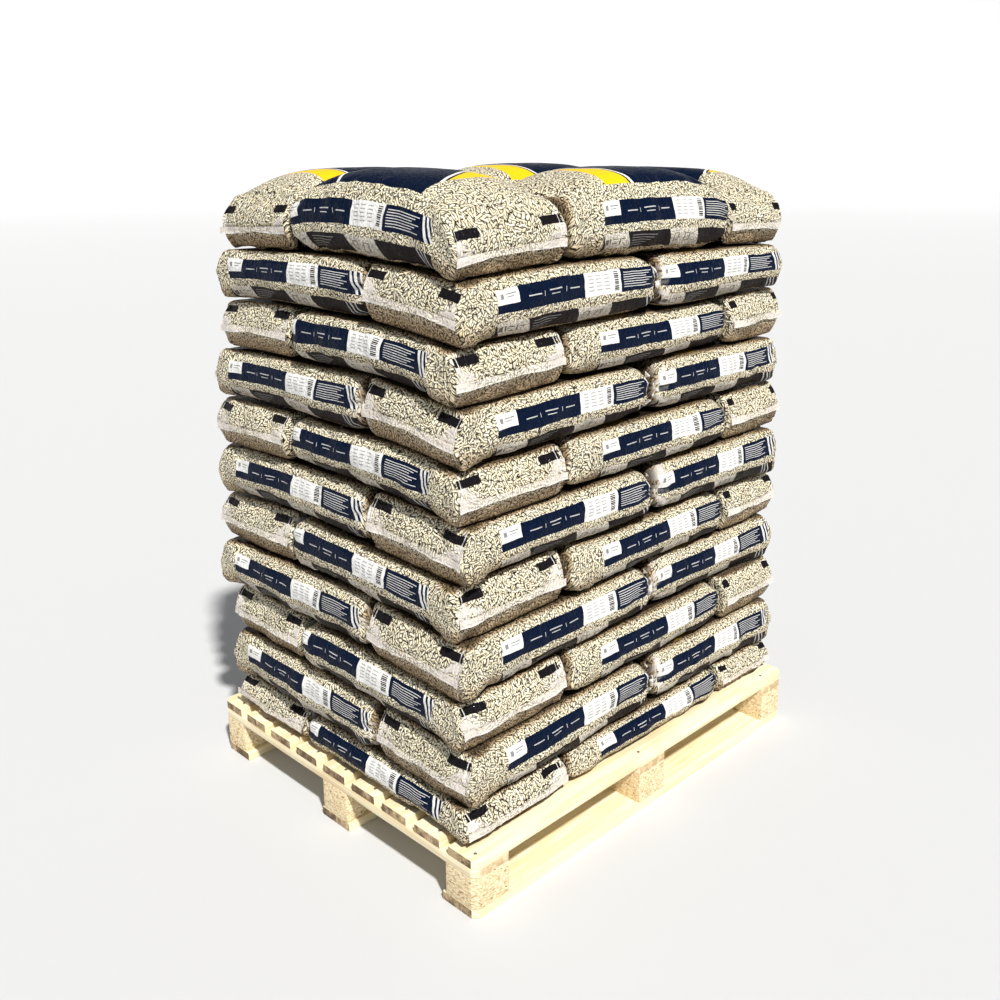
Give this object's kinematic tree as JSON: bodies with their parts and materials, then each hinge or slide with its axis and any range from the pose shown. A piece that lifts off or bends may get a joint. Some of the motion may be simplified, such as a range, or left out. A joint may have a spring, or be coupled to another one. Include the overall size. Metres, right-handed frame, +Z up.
{
  "type": "pallet of sacks",
  "caption": "Wooden block pallet loaded with interlocked layers of printed clear film sacks filled with wood pellets.",
  "frame": {"origin": "centre of the pallet's underside, on the floor", "axes": "+Z up, +X along the pallet's long side, +Y along its short side"},
  "size_m": [1.2, 1, 1.535],
  "materials": {
    "board_wood": "sawn, sun bleached",
    "block_wood": "pressed wood chips",
    "printed_film": "glossy clear film with printed bands over pale pellets"
  },
  "bodies": {
    "root": {"block_1": "block_wood", "block_2": "block_wood", "block_3": "block_wood", "block_4": "block_wood", "block_5": "block_wood", "block_6": "block_wood", "block_7": "block_wood", "block_8": "block_wood", "block_9": "block_wood", "bottom_board_1": "board_wood", "bottom_board_2": "board_wood", "bottom_board_3": "board_wood", "cross_board_1": "board_wood", "cross_board_2": "board_wood", "cross_board_3": "board_wood", "deck_board_1": "board_wood", "deck_board_2": "board_wood", "deck_board_3": "board_wood", "deck_board_4": "board_wood", "deck_board_5": "board_wood", "deck_board_6": "board_wood", "deck_board_7": "board_wood", "deck_board_8": "board_wood", "deck_board_9": "board_wood", "sack_layer_01": "printed_film", "sack_layer_02": "printed_film", "sack_layer_03": "printed_film", "sack_layer_04": "printed_film", "sack_layer_05": "printed_film", "sack_layer_06": "printed_film", "sack_layer_07": "printed_film", "sack_layer_08": "printed_film", "sack_layer_09": "printed_film", "sack_layer_10": "printed_film", "sack_layer_11": "printed_film"}
  },
  "joints": []
}
